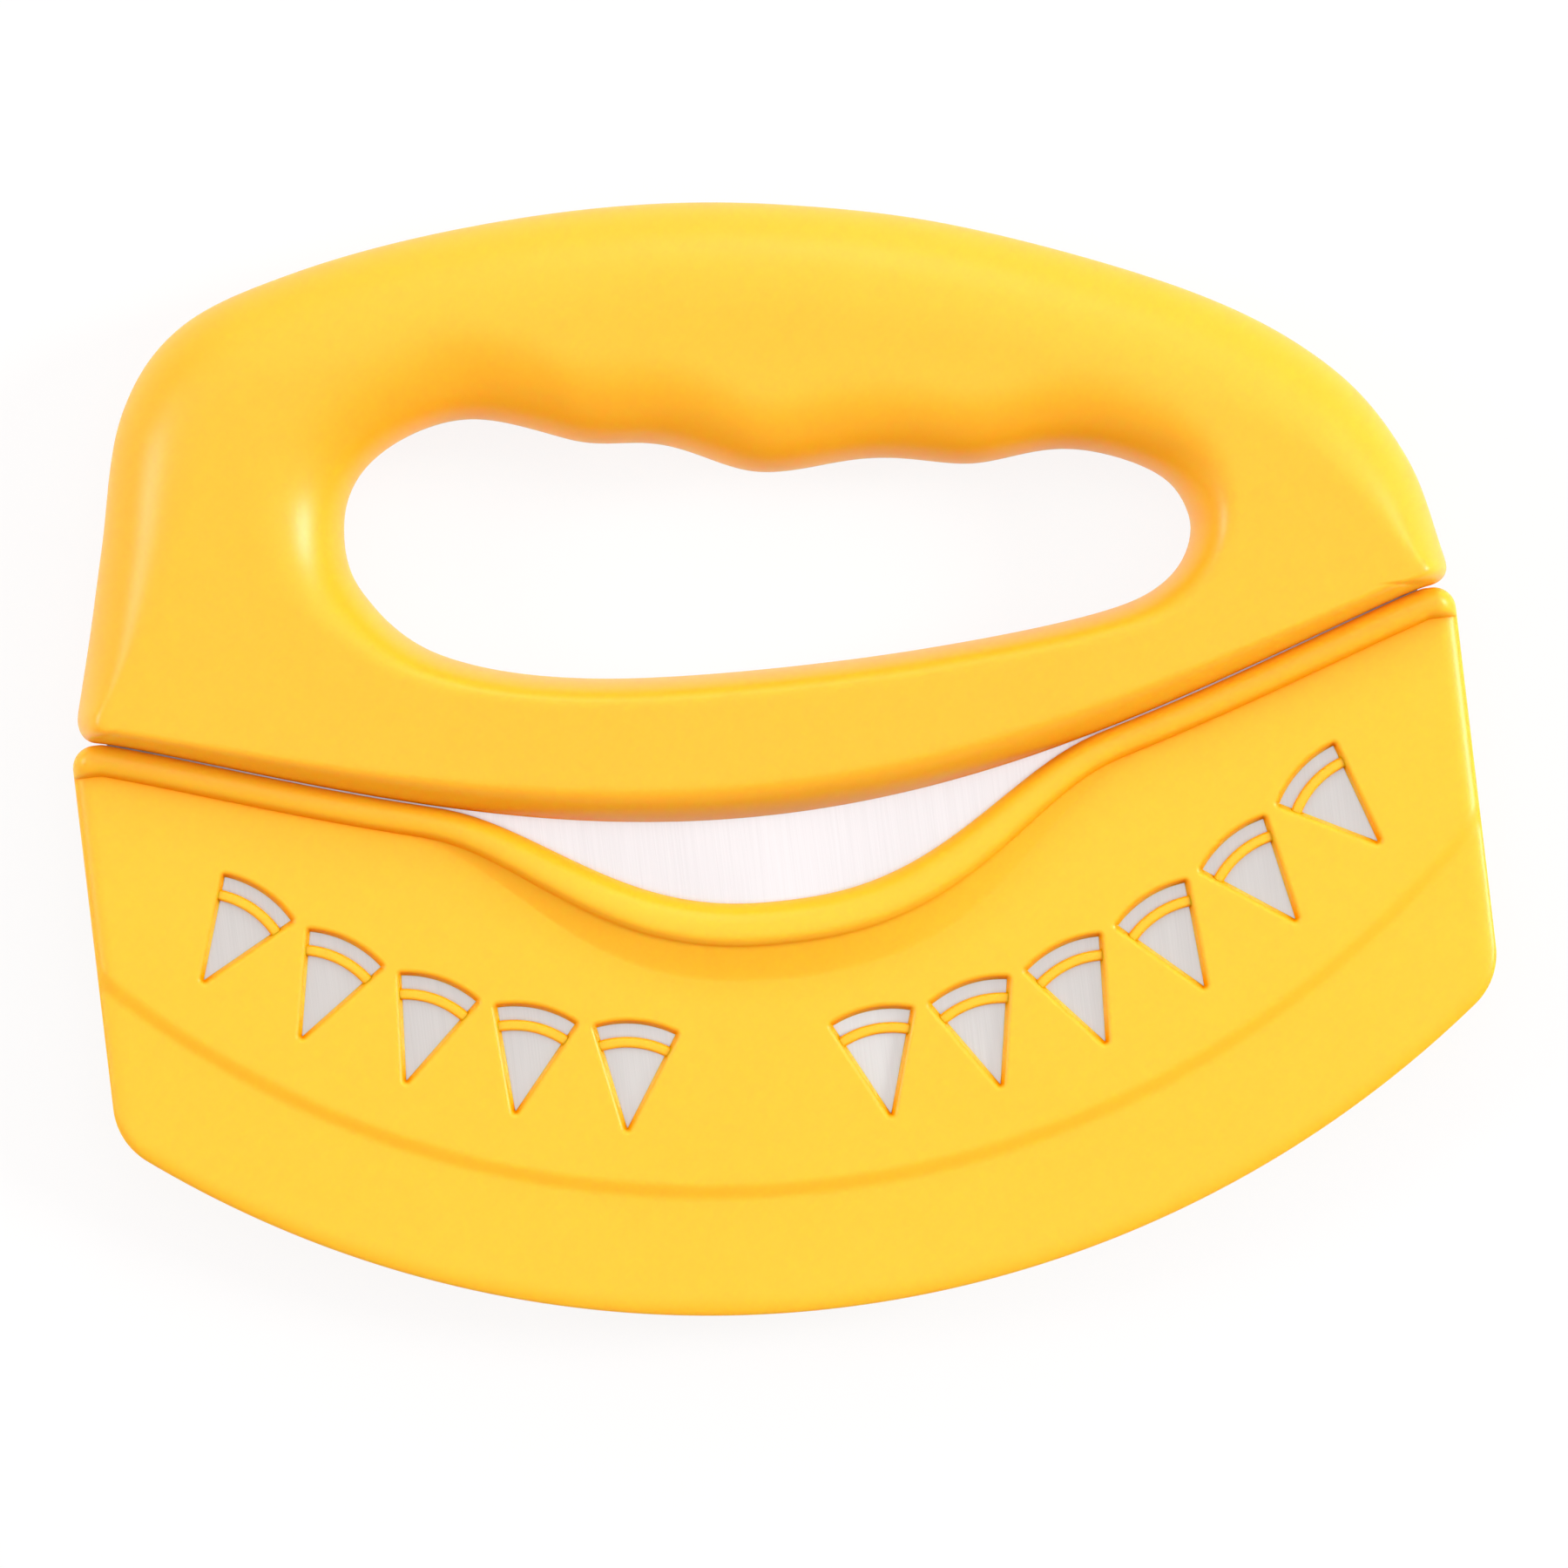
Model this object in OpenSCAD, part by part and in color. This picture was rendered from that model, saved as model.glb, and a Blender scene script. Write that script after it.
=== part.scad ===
// Rocker pizza cutter: a steel blade held between the two shells of a D-shaped handle,
// with a slip-on guard of two shells that slides off along the blade.
// It lies flat: X runs along the cutting edge, Y points from the edge to the grip, Z is the thickness.

/* [Overall] */
// Width across the blade guard
cutter_w = 180; // [172:1:196]
// Height of the handle's crest above the joint line
handle_h = 61.2; // [57:0.2:68]
// Depth of the guard below the joint line
guard_h = 83.7; // [80:0.1:92]
// Gap between the handle's foot and the guard's lip
joint_gap = 0.45; // [0.3:0.05:1]

/* [Handle] */
// Thickness of the handle over both shells
handle_t = 21; // [18:0.5:26]
// Wall of the handle shells
shell_wall = 3.2; // [2.4:0.1:3.6]
// Thickness of a stiffening rib
rib_t = 1.5; // [1:0.1:2]
// How far the ribs run into the wall
rib_sink = 0.8; // [0.5:0.1:1.2]
// Width of the handle's foot along the joint line
foot_w = 172; // [166:0.5:174]
// How far the foot bows down at the middle
foot_bow = 19.4; // [17:0.1:22]
// Height of the bar below the finger opening
bar_h = 18.9; // [17.5:0.1:20]
// Edge radius at the middle of the foot
foot_round = 4.6; // [4:0.1:6]
// Edge radius at the toes, where the foot meets the sides
toe_round = 2; // [1.6:0.1:3]
// Edge radius along the crest of the grip
crest_round = 15; // [12:0.5:16]

/* [Finger opening] */
// Width of the finger opening
opening_w = 109; // [104:0.5:112]
// Height of the finger opening before the finger grooves
opening_h = 34.6; // [32:0.1:36]
// Offset of the finger opening from the middle
opening_x = 2.8; // [0:0.1:4]
// Depth of the deepest finger groove
finger_d = 2.3; // [1.5:0.1:3]
// Width of the widest finger groove
finger_w = 28; // [24:0.5:30]
// Edge radius under the fingers
finger_round = 12; // [9:0.5:13]
// Edge radius along the lower side of the opening
sill_round = 3.6; // [3:0.1:5]

/* [Blade] */
// Width of the blade
blade_w = 170.6; // [166:0.2:171]
// Thickness of the blade
blade_t = 1; // [0.8:0.1:1.4]
// Radius of the cutting edge
edge_r = 138.3; // [132:0.1:150]
// Thickness left at the cutting edge
edge_t = 0.2; // [0.1:0.05:0.4]
// Height of the ground bevel above the cutting edge
bevel_h = 15; // [10:0.5:18]
// Radius of the blade's lower corners
tip_r = 4; // [2:0.5:6]
// Depth of the tang inside the handle
tang_h = 12; // [10.5:0.5:13]
// Play between the tang and the shells, on each side
tang_fit = 0.04; // [0.02:0.01:0.1]

/* [Tang pins] */
// Diameter of a tang pin
pin_d = 4; // [3:0.5:4.5]
// Length of a tang pin
pin_l = 12; // [10:0.5:13]
// Radial play of a pin in its holes
pin_fit = 0.05; // [0.02:0.01:0.1]
// Wall of a boss round its pin
boss_wall = 1.8; // [1.4:0.1:2]
// Distance of the pin row above the foot
pin_rise = 7.4; // [7:0.1:8]

/* [Shell pegs] */
// Diameter of the pegs that line up the two shells
peg_d = 3; // [2.5:0.1:3.6]
// How far a peg reaches into its socket
peg_l = 4; // [3:0.1:5]

/* [Guard] */
// Wall of the guard shells
guard_wall = 1.3; // [1:0.1:1.8]
// Play between the blade and the pocket, on each side
pocket_play = 0.3; // [0.2:0.05:0.5]
// Width of the rim between the pocket and the guard's sole
sole_rim = 3.7; // [3:0.1:5]
// Width of the lip at the ends of the pocket's mouth
lip_w = 3.8; // [3.2:0.1:4.4]
// Extra width of the lip at the middle of its dip
lip_swell = 1.8; // [1:0.1:2.4]
// How far the lip stands above the guard's face
lip_rise = 1.5; // [1:0.1:2]
// Extra height of the lip at the middle of its dip
lip_heave = 0.4; // [0.1:0.1:0.8]
// Depth of the dip at the middle of the lip
dip_h = 10.7; // [8:0.1:12]
// Half width of the dip
dip_w = 43.6; // [38:0.1:46]
// Sideways place of the dip's middle
dip_x = -0.6; // [-2:0.1:2]
// Rise of the apron below the lip, at the middle
apron_rise = 1.7; // [0.8:0.1:2]
// Width of the apron below the lip, at its widest
apron_w = 4.5; // [4:0.1:6]
// Distance from the sole to the step in the face
step_w = 17.3; // [15:0.1:18]
// Height of the step in the face
step_rise = 0.65; // [0.4:0.05:0.7]
// Width of the slope at the step
step_run = 2.6; // [1.8:0.1:3]
// Radius of the guard's lower corners
corner_r = 9; // [7:0.5:12]
// Radius of the guard's upper corners
lip_corner_r = 3; // [2:0.1:4]
// Edge rounding along the sides and the sole
edge_round = 2.6; // [2:0.1:3]

/* [Windows] */
// Number of slice-shaped windows left of the middle
left_count = 5; // [3:1:5]
// Number of slice-shaped windows right of the middle
right_count = 6; // [3:1:6]
// Angle between two windows, about the centre of the cutting edge
slice_pitch = 7.1; // [6.8:0.1:7.4]
// Angle between the left and the right windows
group_gap = 16.6; // [14:0.2:18]
// Distance of the slices' tips above the step in the face
slice_rise = 5.7; // [3:0.1:8]
// Height of a window from its tip to its crust
slice_h = 14.6; // [13:0.1:15.4]
// Angle between the two sides of a slice
slice_angle = 44; // [38:1:46]
// Width of the slot that makes the crust
crust_w = 2; // [1.6:0.1:2.4]
// Web between the crust and the rest of its slice
web_w = 1.4; // [1.2:0.1:1.8]
// How deep the web lies below the face
web_sink = 0.5; // [0.3:0.05:0.7]

/* [Hidden] */
$fn = 64;
plastic = [1, 0.79, 0.25];
steel = [0.8, 0.8, 0.82];
// Overrun that carries a cut past the face it opens
over = 1;
half_w = cutter_w / 2;

// Outer edge of the handle from its left foot over the crest to its right foot,
// as shares of half the width and of the handle's height
crest_shares = [
    [-0.986, 0.055], [-0.953, 0.231], [-0.922, 0.409], [-0.872, 0.682], [-0.773, 0.853],
    [-0.600, 0.940], [-0.376, 0.989], [-0.127, 0.999], [0.106, 0.962], [0.365, 0.868],
    [0.677, 0.677], [0.860, 0.488], [0.955, 0.278], [0.994, 0.044]
];
// Edge of the finger opening without its grooves, clockwise from the left end,
// as shares of half its width and of its height
opening_shares = [
    [-0.974, 0.467], [-0.995, 0.729], [-0.926, 0.921], [-0.775, 0.992], [-0.506, 0.967],
    [-0.128, 0.759], [0.416, 0.679], [0.866, 0.604], [0.996, 0.389], [0.929, 0.158],
    [0.699, 0.049], [0.147, -0.003], [-0.436, 0.036], [-0.803, 0.192]
];
// Finger grooves: place as a share of half the opening, then depth and width shares
finger_shares = [
    [-0.700, 0.9, 1.06], [-0.215, 1.17, 0.88], [0.266, 0.58, 0.99], [0.712, 0.65, 0.91]
];
// Only the upper side of the opening is grooved: this share of its height and above
grooved_share = 0.4;

// Stations round the handle: over the crest, round one foot corner, along the foot
crest_steps = 52;
toe_steps = 3;
foot_steps = 26;
stations = crest_steps + foot_steps + 2 * toe_steps;
skin_steps = 6;
lining_steps = 3;

function mix(a, b, t) = a + (b - a) * t;
function ease(t) = let (c = min(max(t, 0), 1)) c * c * (3 - 2 * c);
function through(a, b, c, d, t) =
    (2 * b + (c - a) * t + (2 * a - 5 * b + 4 * c - d) * t * t + (3 * b - a - 3 * c + d) * t * t * t) / 2;
function open_curve(k, u) =
    let (n = len(k) - 1, i = min(floor(u * n), n - 1))
    through(i > 0 ? k[i - 1] : 2 * k[0] - k[1], k[i], k[i + 1],
        i + 2 > n ? 2 * k[n] - k[n - 1] : k[i + 2], u * n - i);
function loop_curve(k, u) =
    let (n = len(k), i = floor(u * n))
    through(k[(i + n - 1) % n], k[i % n], k[(i + 1) % n], k[(i + 2) % n], u * n - i);
function bend(a, b, c, t) = mix(mix(a, b, t), mix(b, c, t), t);
// Height of a rounded edge as a share, at q edge radii in from the edge
function rounded(q) = q >= 1 ? 1 : q <= 0 ? 0 : sqrt(q * (2 - q));
function turned(p) = [p[1], -p[0]];
function sine_between(a, b) = abs(cross(a, b)) / (norm(a) * norm(b));

// Lower edge of the handle: a cosine bow, a little flatter towards its ends
bow_power = 1.07;
function foot_y(x) = -foot_bow * pow(max(cos(180 * x / foot_w), 0), bow_power);

crest_knots = [for (s = crest_shares) [s[0] * half_w, s[1] * handle_h]];
opening_y = bar_h - foot_bow;
opening_knots = [for (s = opening_shares) [opening_x + s[0] * opening_w / 2, opening_y + s[1] * opening_h]];

// Outer edge of the handle at station i
function handle_edge(i) =
    let (
        first = crest_knots[0],
        last = crest_knots[len(crest_knots) - 1],
        a = i - crest_steps,
        b = a - toe_steps,
        c = b - foot_steps,
        x = foot_w * (1 / 2 - b / foot_steps)
    )
    a <= 0 ? open_curve(crest_knots, i / crest_steps)
    : b < 0 ? bend(last, [last[0], 0], [foot_w / 2, 0], a / toe_steps)
    : c <= 0 ? [x, foot_y(x)]
    : bend([-foot_w / 2, 0], [first[0], 0], first, c / toe_steps);
function groove_bump(x, s) =
    let (q = abs(x - opening_x - s[0] * opening_w / 2) / (s[2] * finger_w / 2))
    q < 1 ? s[1] * finger_d * (1 + cos(180 * q)) / 2 : 0;
function grooves(p) =
    p[1] < opening_y + grooved_share * opening_h ? 0
    : groove_bump(p[0], finger_shares[0]) + groove_bump(p[0], finger_shares[1])
        + groove_bump(p[0], finger_shares[2]) + groove_bump(p[0], finger_shares[3]);
// Edge of the finger opening at station i
function opening_edge(i) =
    let (p = loop_curve(opening_knots, (i % stations) / stations))
    [p[0], p[1] + grooves(p)];

handle_line = [for (i = [0:stations - 1]) handle_edge(i)];
opening_line = [for (i = [0:stations - 1]) opening_edge(i)];
function line_run(line, i) = line[(i + 1) % stations] - line[(i + stations - 1) % stations];

// Radius of the handle's outer edge at a point of it
function outer_round(p) =
    p[1] < 0 ? mix(toe_round, foot_round, -p[1] / foot_bow) : mix(toe_round, crest_round, sin(90 * p[1] / handle_h));
// Largest part of a section that one edge radius takes
half_share = 0.48;
// One section of a shell from the handle's edge to the opening's edge, set in by inset
function section(i, inset, steps) =
    let (
        a = handle_line[i],
        b = opening_line[i],
        way = (b - a) / norm(b - a),
        sa = sine_between(way, line_run(handle_line, i)),
        sb = sine_between(way, line_run(opening_line, i)),
        from = a + way * inset / sa,
        to = b - way * inset / sb,
        span = norm(to - from),
        ra = max(outer_round(a) - inset, inset / 2) / sa,
        rb = max(mix(sill_round, finger_round, ease((b[1] - opening_y) / opening_h)) - inset, inset / 2) / sb,
        share = [for (k = [0:steps]) 1 - cos(90 * k / steps)],
        down = [for (q = share) q * min(ra, half_share * span)],
        up = [for (q = turned_back(share)) span - q * min(rb, half_share * span)]
    )
    [for (s = concat(down, up))
        let (p = from + way * s)
        [p[0], p[1], s == 0 || s == span ? 0 : (handle_t / 2 - inset) * rounded(s / ra) * rounded((span - s) / rb)]];
function turned_back(list) = [for (j = [len(list) - 1:-1:0]) list[j]];

// Closed ring of sections, each section a loop of points with the same count
module ring_of(sections) {
    n = len(sections);
    m = len(sections[0]);
    polyhedron(
        points = [for (s = sections) each s],
        faces = [for (i = [0:n - 1], j = [0:m - 1])
            let (a = i * m + j, b = i * m + (j + 1) % m,
                c = ((i + 1) % n) * m + (j + 1) % m, d = ((i + 1) % n) * m + j)
            each [[a, c, b], [a, d, c]]]);
}

// Hollow upper half of the handle, open at the parting plane
module shell_skin() {
    ring_of([for (i = [0:stations - 1])
        concat(section(i, 0, skin_steps), turned_back(section(i, shell_wall, lining_steps)))]);
}

// Tang pins sit in a row that follows the foot, as shares of half the blade
pin_shares = [-0.8, -0.28, 0.28, 0.8];
pin_spots = [for (s = pin_shares) let (x = s * blade_w / 2) [x, foot_y(x) + pin_rise]];
// Shell pegs sit midway between the two edges, at these stations
peg_stations = [8, 18, 28, 38, 47];
peg_spots = [for (i = peg_stations) (handle_line[i] + opening_line[i]) / 2];
module at(spots) {
    for (p = spots) translate([p[0], p[1], 0]) children();
}
boss_top = handle_t / 2 - shell_wall / 2;
module boss(bore_r) {
    cylinder(r = bore_r + boss_wall, h = boss_top);
}
// Stiffening ribs cross the hollow grip between the pegs, at these stations, and run into the wall
rib_stations = [5, 11, 15, 21, 25, 31, 35, 41, 44, 50];
module rib(i) {
    line = section(i, shell_wall - rib_sink, lining_steps);
    from = line[0];
    way = line[len(line) - 1] - from;
    translate(from) rotate([90, 0, atan2(way[1], way[0])])
        linear_extrude(height = rib_t, center = true)
            polygon([for (p = line) [norm([p[0] - from[0], p[1] - from[1]]), p[2]]]);
}
module ribs() {
    for (i = rib_stations) rib(i);
}

// Blade outline below the tang's top edge, grown by play on every side
tang_ramp = tang_h;
function tang_y(x, play) = foot_y(x) + play + tang_h * min(1, max(0, (blade_w / 2 - abs(x)) / tang_ramp));
tang_steps = 40;
arc_y = edge_r + sole_rim - guard_h;
module blade_outline(play) {
    w = blade_w / 2 + play;
    polygon(concat(
        [for (i = [0:tang_steps]) let (x = w * cos(180 * i / tang_steps)) [x, tang_y(x, play)]],
        [[-w, -guard_h], [w, -guard_h]]));
}
module tang_slot() {
    linear_extrude(height = blade_t + 2 * tang_fit, center = true) blade_outline(tang_fit);
}

module handle_front() {
    color(plastic) difference() {
        union() {
            shell_skin();
            ribs();
            at(pin_spots) boss(pin_d / 2 + pin_fit);
            at(peg_spots) boss(peg_d / 2);
        }
        tang_slot();
        at(pin_spots) translate([0, 0, -over]) cylinder(d = pin_d + 2 * pin_fit, h = pin_l / 2 + pin_fit + over);
    }
    color(plastic) at(peg_spots) translate([0, 0, -peg_l]) cylinder(d = peg_d, h = boss_top);
}

module handle_back() {
    color(plastic) mirror([0, 0, 1]) difference() {
        union() {
            shell_skin();
            ribs();
            at(pin_spots) boss(pin_d / 2 + pin_fit);
            at(peg_spots) boss(peg_d / 2 + pin_fit);
        }
        tang_slot();
        at(pin_spots) translate([0, 0, -over]) cylinder(d = pin_d + 2 * pin_fit, h = pin_l / 2 + pin_fit + over);
        at(peg_spots) translate([0, 0, -over]) cylinder(d = peg_d + 2 * pin_fit, h = peg_l + pin_fit + over);
    }
}

// A disc about the centre of the cutting edge, thinner towards its rim
module lens(r, t, rim_t, bevel) {
    translate([0, arc_y, 0]) rotate_extrude($fn = 180) polygon([
        [0, -t / 2], [r - bevel, -t / 2], [r, -rim_t / 2], [r, rim_t / 2], [r - bevel, t / 2], [0, t / 2]
    ]);
}

// Where the centre of a lower corner's arc stands, as a share of its radius from the side and the edge
tip_share = 0.985;
// What a rounded lower corner takes off: its arc meets the side and the cutting edge at a slight angle
module tip_cut() {
    inset = tip_share * tip_r;
    c = [blade_w / 2 - inset, arc_y - sqrt(pow(edge_r - inset, 2) - pow(blade_w / 2 - inset, 2))];
    u = (c - [0, arc_y]) / norm(c - [0, arc_y]);
    reach = 2 * tip_r;
    difference() {
        polygon([c, c + [reach, 0], c + [reach, 0] + reach * u, c + reach * u]);
        translate(c) circle(r = tip_r);
    }
}

module blade() {
    color(steel) difference() {
        intersection() {
            linear_extrude(height = blade_t, center = true) blade_outline(0);
            lens(edge_r, blade_t, edge_t, bevel_h);
        }
        at(pin_spots) cylinder(d = pin_d + 2 * pin_fit, h = blade_t + 2 * over, center = true);
        for (s = [0, 1]) mirror([s, 0, 0]) linear_extrude(height = blade_t + 2 * over, center = true) tip_cut();
    }
}

module tang_pins() {
    color(steel) at(pin_spots) cylinder(d = pin_d, h = pin_l, center = true);
}

// Guard
sole_r = edge_r + sole_rim;
face_z = blade_t / 2 + pocket_play + guard_wall;
// Height of the plain edge where the two guard shells meet
seam_z = guard_wall / 2;
lip_flat = half_w - lip_corner_r;
// The dip flattens in its middle by the first power and towards its ends by the second
dip_powers = [2.6, 2.4];
function lip_y(x) =
    let (q = min(abs(x - dip_x) / dip_w, 1), c = max(abs(x) - lip_flat, 0))
    foot_y(x) - joint_gap - dip_h * pow(1 - pow(q, dip_powers[0]), dip_powers[1])
        - (lip_corner_r - sqrt(max(pow(lip_corner_r, 2) - c * c, 0)));
// The lower corner is a circle that touches the side and the sole from inside
corner_x = half_w - corner_r;
corner_y = arc_y - sqrt(pow(sole_r - corner_r, 2) - pow(corner_x, 2));
corner_from = corner_x * sole_r / (sole_r - corner_r);
function sole_y(x) =
    abs(x) < corner_from ? arc_y - sqrt(sole_r * sole_r - x * x)
    : corner_y - sqrt(max(corner_r * corner_r - pow(abs(x) - corner_x, 2), 0));
function ring_y(r, x) = arc_y - sqrt(r * r - x * x);

// Share of the apron at x: full under the dip, nothing past its ends, where a little of its width is left
apron_reach_share = 1.05;
apron_end_share = 0.12;
apron_powers = [3, 1.2];
function apron_share(x) =
    pow(1 - pow(min(abs(x - dip_x) / (apron_reach_share * dip_w), 1), apron_powers[0]), apron_powers[1]);
// Cross-section of the lip: place across it and height above the face, as shares
lip_shares = [[0, 0.1], [0.08, 0.5], [0.22, 0.84], [0.42, 1], [0.64, 0.95], [0.82, 0.74], [0.94, 0.34], [1, 0]];
// On a steep run the lip is measured across its own line, up to this much
lip_stretch = 1.6;
lower_z = face_z - step_rise;
columns = 30;
round_shares = [1, 0.62, 0.3, 0.08, 0];

// Points down one column of the guard's face, from the lip to the sole
function column(i) =
    let (
        x = half_w * sin(90 * i / columns),
        dx = half_w / 1000,
        lean = norm([1, (lip_y(x + dx) - lip_y(x - dx)) / (2 * dx)]),
        steep = min(lean, lip_stretch),
        top = lip_y(x),
        sole = sole_y(x),
        apron = apron_share(x),
        lip = lip_w + lip_swell * apron,
        side = rounded((half_w - abs(x)) / edge_round),
        face = concat(
            [for (s = lip_shares)
                [top - s[0] * lip * steep, face_z + (lip_rise + lip_heave * apron) * s[1] + apron_rise * apron * s[0]]],
            [[top - (lip + apron_w * mix(apron_end_share, 1, apron)) * steep, face_z],
                [ring_y(sole_r - step_w, x), face_z],
                [ring_y(sole_r - step_w + step_run / 2, x), (face_z + lower_z) / 2],
                [ring_y(sole_r - step_w + step_run, x), lower_z]],
            [for (s = round_shares) [sole + edge_round * s, mix(seam_z, lower_z, rounded(s))]])
    )
    [for (p = face) [x, p[0], mix(seam_z, p[1], side)]];

// Upper half of the guard without its pocket: a height field over the outline, flat underneath
module guard_block() {
    grid = [for (i = [-columns:columns]) column(i)];
    n = len(grid);
    m = len(grid[0]);
    base = n * m;
    polyhedron(
        points = concat(
            [for (c = grid) each c],
            [for (c = grid) each [[c[0][0], c[0][1], 0], [c[m - 1][0], c[m - 1][1], 0]]]),
        faces = concat(
            [for (i = [0:n - 2], j = [0:m - 2])
                let (a = i * m + j, b = a + 1, c = b + m, d = a + m)
                each [[a, c, b], [a, d, c]]],
            [for (i = [0:n - 2])
                let (t = i * m, u = t + m, s = t + m - 1, v = u + m - 1,
                    bt = base + 2 * i, bs = bt + 1, bu = bt + 2, bv = bt + 3)
                each [[t, bu, u], [t, bt, bu], [s, bv, bs], [s, v, bv], [bt, bv, bu], [bt, bs, bv]]],
            [for (j = [0:m - 2]) [base, j, j + 1]],
            [[base, m - 1, base + 1]],
            [for (j = [0:m - 2]) let (r = (n - 1) * m) [base + 2 * n - 2, r + j + 1, r + j]],
            [[base + 2 * n - 2, base + 2 * n - 1, base - 1]]));
}

// Pocket for the blade, open at the lip
module pocket() {
    w = blade_w + 2 * pocket_play;
    intersection() {
        lens(edge_r + pocket_play, blade_t + 2 * pocket_play, edge_t + 2 * pocket_play, bevel_h + pocket_play);
        translate([-w / 2, -guard_h, -handle_t / 2]) cube([w, guard_h + over, handle_t]);
    }
}

// Stencilled slice of a round pie: its tip points to the cutting edge, and its crust is a slot of its own
arc_steps = 8;
module sector(from_r, to_r, angle) {
    turn = [for (i = [0:arc_steps]) angle * (i / arc_steps - 1 / 2)];
    polygon(concat(
        [for (a = turn) to_r * [sin(a), cos(a)]],
        from_r > 0 ? [for (a = turned_back(turn)) from_r * [sin(a), cos(a)]] : [[0, 0]]));
}
// Radius of the arc that the tips of the slices lie on, above the step in the face
slice_tip_r = sole_r - step_w - slice_rise;
row = (left_count + right_count - 2) * slice_pitch + group_gap;
slice_turns = [for (i = [0:left_count + right_count - 1])
    i * slice_pitch + (i < left_count ? 0 : group_gap - slice_pitch) - row / 2];
module over_slices() {
    for (a = slice_turns) translate([0, arc_y]) rotate(a) translate([0, -slice_tip_r]) children();
}
module windows() {
    translate([0, 0, -over]) linear_extrude(height = face_z + 2 * over) over_slices() sector(0, slice_h, slice_angle);
}
// Sunk webs between the crusts and their slices: their ends run a web's width into the face
pocket_z = blade_t / 2 + pocket_play;
module webs() {
    web_r = slice_h - crust_w;
    translate([0, 0, pocket_z / 2]) linear_extrude(height = face_z - web_sink - pocket_z / 2)
        over_slices() sector(web_r - web_w, web_r, slice_angle + 2 * asin(web_w / web_r));
}

module guard_front() {
    color(plastic) difference() {
        union() {
            difference() {
                guard_block();
                windows();
            }
            webs();
        }
        pocket();
    }
}

module guard_back() {
    color(plastic) mirror([0, 0, 1]) difference() {
        guard_block();
        pocket();
    }
}

// The origin is the middle of the base of the whole cutter
crest_y = max([for (p = handle_line) p[1]]);
module placed() {
    translate([0, (guard_h - crest_y) / 2, handle_t / 2]) children();
}
placed() handle_front();
placed() handle_back();
placed() blade();
placed() tang_pins();
placed() guard_front();
placed() guard_back();
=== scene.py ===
"""Looks for the rocker pizza cutter: finer skins for the moulded shells, materials, light and camera.

Shapes are worked out in millimetres from the middle of the joint line and go to the row frame in metres.
"""

import math

import bmesh
import bpy
import numpy as np
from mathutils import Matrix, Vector
from mathutils.geometry import delaunay_2d_cdt


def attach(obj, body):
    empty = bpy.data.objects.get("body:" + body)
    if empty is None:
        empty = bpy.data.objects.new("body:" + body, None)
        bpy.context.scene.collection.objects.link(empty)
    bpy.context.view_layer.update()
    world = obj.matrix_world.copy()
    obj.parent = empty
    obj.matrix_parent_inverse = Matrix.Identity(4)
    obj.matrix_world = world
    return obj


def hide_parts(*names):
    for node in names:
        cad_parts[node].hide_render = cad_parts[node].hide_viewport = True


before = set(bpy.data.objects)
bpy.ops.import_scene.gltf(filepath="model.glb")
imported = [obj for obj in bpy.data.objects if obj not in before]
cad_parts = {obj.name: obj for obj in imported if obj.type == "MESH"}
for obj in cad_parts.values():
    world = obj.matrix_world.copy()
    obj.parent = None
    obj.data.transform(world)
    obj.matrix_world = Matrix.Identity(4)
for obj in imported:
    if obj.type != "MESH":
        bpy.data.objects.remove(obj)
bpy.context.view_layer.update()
scene = bpy.context.scene

# Sizes of the part, in millimetres
CUTTER_W, HANDLE_H, GUARD_H, JOINT_GAP = 180.0, 61.2, 83.7, 0.45
HANDLE_T, SHELL_WALL = 21.0, 3.2
FOOT_W, FOOT_BOW, BAR_H, BOW_POWER = 172.0, 19.4, 18.9, 1.07
TOE_ROUND, FOOT_ROUND, CREST_ROUND, FINGER_ROUND, SILL_ROUND = 2.0, 4.6, 15.0, 12.0, 3.6
OPENING_W, OPENING_H, OPENING_X = 109.0, 34.6, 2.8
FINGER_D, FINGER_W = 2.3, 28.0
BLADE_W, BLADE_T, EDGE_R, EDGE_T, BEVEL_H = 170.6, 1.0, 138.3, 0.2, 15.0
GUARD_WALL, POCKET_PLAY, SOLE_RIM = 1.3, 0.3, 3.7
LIP_W, LIP_SWELL, LIP_RISE, DIP_H, DIP_W, DIP_X = 3.8, 1.8, 1.5, 10.7, 43.6, -0.6
APRON_RISE, APRON_W, APRON_REACH, APRON_END, LIP_HEAVE = 1.7, 4.5, 1.05, 0.12, 0.4
STEP_W, STEP_RISE, STEP_RUN = 17.3, 0.65, 2.6
CORNER_R, LIP_CORNER_R, EDGE_ROUND = 9.0, 3.0, 2.6
SLICE_H, SLICE_ANGLE, SLICE_RISE, CRUST_W, WEB_W, WEB_SINK = 14.6, 44.0, 5.7, 2.0, 1.4, 0.5
LEFT_COUNT, RIGHT_COUNT, SLICE_PITCH, GROUP_GAP = 5, 6, 7.1, 16.6
HALF_W = CUTTER_W / 2
MM = 0.001
# how sharply the dip and the apron end, and how much wider the lip may get where it slopes
DIP_POWERS, APRON_POWERS, APRON_FALL = (2.6, 2.4), (3, 1.2), 1.2
LIP_STRETCH = 1.6

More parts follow.
